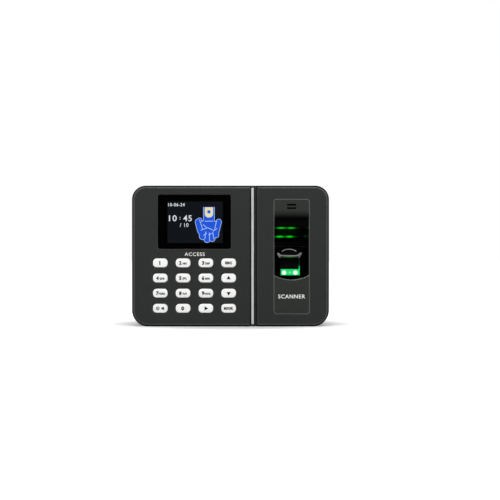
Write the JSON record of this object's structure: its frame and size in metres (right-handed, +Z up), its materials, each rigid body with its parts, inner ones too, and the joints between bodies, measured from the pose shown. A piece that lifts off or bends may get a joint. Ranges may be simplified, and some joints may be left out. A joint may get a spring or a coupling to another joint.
{
  "type": "fingerprint scanner terminal",
  "caption": "Wall-mounted fingerprint access terminal with colour display, membrane keypad and a recessed optical finger sensor.",
  "frame": {"origin": "centre of the base, midway between the front of the keys and the rear of the wall plate", "axes": "+X to the right seen from the front, +Y towards the wall, +Z up; the face looks along -Y"},
  "size_m": [0.175, 0.036, 0.125],
  "materials": {
    "front_paint": "gunmetal paint over moulded ABS, fine satin texture",
    "rear_plastic": "black moulded ABS, spark-eroded texture",
    "lens_acrylic": "clear acrylic with a black printed border",
    "foam": "black closed-cell foam",
    "lcd_glass": "liquid crystal cell",
    "lcd_metal": "backlight tray",
    "inner_plastic": "black moulded nylon",
    "satin_metal": "satin silver",
    "sensor_gloss": "painted frame with a polished black recess",
    "stop_gloss": "polished black",
    "sensor_glass": "dark optical glass",
    "light": "green lit acrylic light guide",
    "led": "light-emitting diode",
    "key_plastic": "white satin moulded plastic",
    "silicone": "translucent grey silicone",
    "board": "green solder mask on glass epoxy",
    "speaker": "black shell",
    "steel": "nickel-plated steel",
    "connector_metal": "tinned steel shell",
    "terminal": "green moulded nylon",
    "button": "white moulded acetal",
    "flex": "amber polyimide film",
    "bracket": "zinc-plated sheet steel"
  },
  "bodies": {
    "housing": {"front_housing": "front_paint", "rear_housing": "rear_plastic", "display_lens": "lens_acrylic", "display_gasket": "foam", "lcd_panel": "lcd_glass", "lcd_backlight": "lcd_metal", "lcd_carrier": "inner_plastic", "sensor_housing": "inner_plastic", "camera_barrel": "inner_plastic", "door_relay": "inner_plastic", "coin_cell_holder": "inner_plastic", "power_jack": "inner_plastic", "reset_switch": "inner_plastic", "tamper_switch": "inner_plastic", "divider_strip": "satin_metal", "sensor_panel": "sensor_gloss", "finger_stop": "stop_gloss", "sensor_glass": "sensor_glass", "light_guide": "light", "led_left": "led", "led_right": "led", "keypad_mat": "silicone", "keypad_board": "board", "sensor_board": "board", "main_board": "board", "speaker": "speaker", "coin_cell": "steel", "lock_screw": "steel", "case_screw_1": "steel", "case_screw_2": "steel", "case_screw_3": "steel", "case_screw_4": "steel", "board_screw_1": "steel", "board_screw_2": "steel", "ethernet_jack": "connector_metal", "usb_port": "connector_metal", "terminal_block": "terminal", "lcd_flex": "flex", "keypad_flex": "flex", "sensor_flex": "flex", "wall_plate": "bracket"},
    "key_1": {"key_1": "key_plastic"},
    "key_2": {"key_2": "key_plastic"},
    "key_3": {"key_3": "key_plastic"},
    "key_escape": {"key_escape": "key_plastic"},
    "key_4": {"key_4": "key_plastic"},
    "key_5": {"key_5": "key_plastic"},
    "key_6": {"key_6": "key_plastic"},
    "key_up": {"key_up": "key_plastic"},
    "key_7": {"key_7": "key_plastic"},
    "key_8": {"key_8": "key_plastic"},
    "key_9": {"key_9": "key_plastic"},
    "key_down": {"key_down": "key_plastic"},
    "key_left": {"key_left": "key_plastic"},
    "key_0": {"key_0": "key_plastic"},
    "key_right": {"key_right": "key_plastic"},
    "key_menu": {"key_menu": "key_plastic"},
    "reset_button": {"reset_button": "button"},
    "tamper_plunger": {"tamper_plunger": "button"}
  },
  "joints": [
    {"name": "key_1_press", "type": "slide", "parent": "housing", "child": "key_1", "axis": [0, 1, 0], "range_m": [0, 0.0008], "stiffness_N_per_m": 400, "springref_m": -0.002},
    {"name": "key_2_press", "type": "slide", "parent": "housing", "child": "key_2", "axis": [0, 1, 0], "range_m": [0, 0.0008], "stiffness_N_per_m": 400, "springref_m": -0.002},
    {"name": "key_3_press", "type": "slide", "parent": "housing", "child": "key_3", "axis": [0, 1, 0], "range_m": [0, 0.0008], "stiffness_N_per_m": 400, "springref_m": -0.002},
    {"name": "key_escape_press", "type": "slide", "parent": "housing", "child": "key_escape", "axis": [0, 1, 0], "range_m": [0, 0.0008], "stiffness_N_per_m": 400, "springref_m": -0.002},
    {"name": "key_4_press", "type": "slide", "parent": "housing", "child": "key_4", "axis": [0, 1, 0], "range_m": [0, 0.0008], "stiffness_N_per_m": 400, "springref_m": -0.002},
    {"name": "key_5_press", "type": "slide", "parent": "housing", "child": "key_5", "axis": [0, 1, 0], "range_m": [0, 0.0008], "stiffness_N_per_m": 400, "springref_m": -0.002},
    {"name": "key_6_press", "type": "slide", "parent": "housing", "child": "key_6", "axis": [0, 1, 0], "range_m": [0, 0.0008], "stiffness_N_per_m": 400, "springref_m": -0.002},
    {"name": "key_up_press", "type": "slide", "parent": "housing", "child": "key_up", "axis": [0, 1, 0], "range_m": [0, 0.0008], "stiffness_N_per_m": 400, "springref_m": -0.002},
    {"name": "key_7_press", "type": "slide", "parent": "housing", "child": "key_7", "axis": [0, 1, 0], "range_m": [0, 0.0008], "stiffness_N_per_m": 400, "springref_m": -0.002},
    {"name": "key_8_press", "type": "slide", "parent": "housing", "child": "key_8", "axis": [0, 1, 0], "range_m": [0, 0.0008], "stiffness_N_per_m": 400, "springref_m": -0.002},
    {"name": "key_9_press", "type": "slide", "parent": "housing", "child": "key_9", "axis": [0, 1, 0], "range_m": [0, 0.0008], "stiffness_N_per_m": 400, "springref_m": -0.002},
    {"name": "key_down_press", "type": "slide", "parent": "housing", "child": "key_down", "axis": [0, 1, 0], "range_m": [0, 0.0008], "stiffness_N_per_m": 400, "springref_m": -0.002},
    {"name": "key_left_press", "type": "slide", "parent": "housing", "child": "key_left", "axis": [0, 1, 0], "range_m": [0, 0.0008], "stiffness_N_per_m": 400, "springref_m": -0.002},
    {"name": "key_0_press", "type": "slide", "parent": "housing", "child": "key_0", "axis": [0, 1, 0], "range_m": [0, 0.0008], "stiffness_N_per_m": 400, "springref_m": -0.002},
    {"name": "key_right_press", "type": "slide", "parent": "housing", "child": "key_right", "axis": [0, 1, 0], "range_m": [0, 0.0008], "stiffness_N_per_m": 400, "springref_m": -0.002},
    {"name": "key_menu_press", "type": "slide", "parent": "housing", "child": "key_menu", "axis": [0, 1, 0], "range_m": [0, 0.0008], "stiffness_N_per_m": 400, "springref_m": -0.002},
    {"name": "reset_press", "type": "slide", "parent": "housing", "child": "reset_button", "axis": [0, 0, 1], "range_m": [0, 0.00025], "stiffness_N_per_m": 1000, "springref_m": -0.0005},
    {"name": "tamper_press", "type": "slide", "parent": "housing", "child": "tamper_plunger", "axis": [0, 1, 0], "range_m": [-0.001, 0], "stiffness_N_per_m": 150, "springref_m": 0.004}
  ]
}
